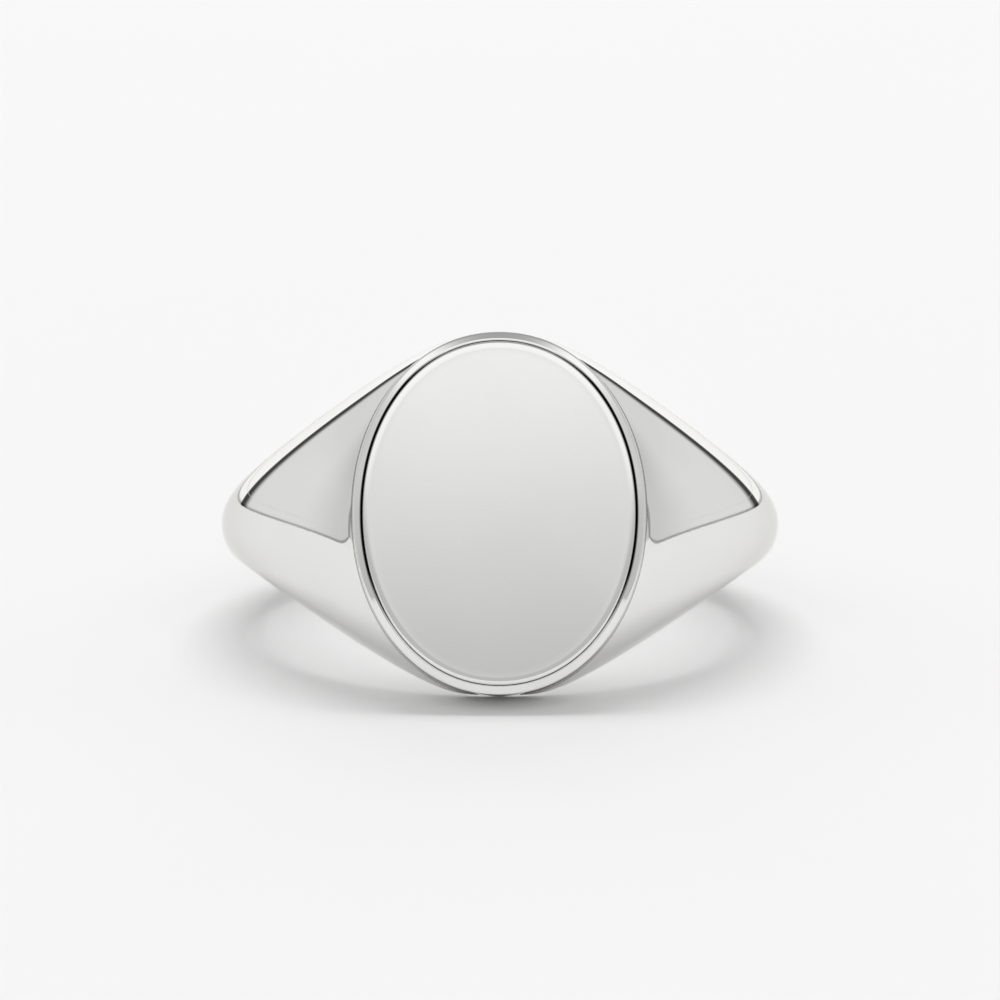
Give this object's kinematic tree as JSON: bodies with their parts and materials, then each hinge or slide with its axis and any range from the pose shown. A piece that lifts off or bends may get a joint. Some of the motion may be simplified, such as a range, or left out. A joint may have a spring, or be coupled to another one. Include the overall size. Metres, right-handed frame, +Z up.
{
  "type": "signet ring",
  "caption": "Polished finger ring with a flat oval seal face in a bevelled collar, flared shoulders and a rounded tapering band, leaning at rest on its head and shank.",
  "frame": {"origin": "middle of the ring's bounding box, at the level of the ground that it rests on", "axes": "+Z up, +X to the right as the face is seen, +Y away from the viewer; the face looks to -Y and is tilted up by about 17 degrees"},
  "size_m": [0.0206, 0.0221, 0.0132],
  "materials": {
    "silver": "mirror polish with fine polishing marks",
    "solder": "filed flush and polished, a shade duller than the ring"
  },
  "bodies": {
    "root": {"face_plate": "silver", "bezel_collar": "silver", "head_core": "silver", "shoulder_left": "silver", "shoulder_right": "silver", "shank": "silver", "plate_solder": "solder", "core_solder": "solder", "shoulder_solder_left": "solder", "shoulder_solder_right": "solder", "shank_solder_left": "solder", "shank_solder_right": "solder"}
  },
  "joints": []
}
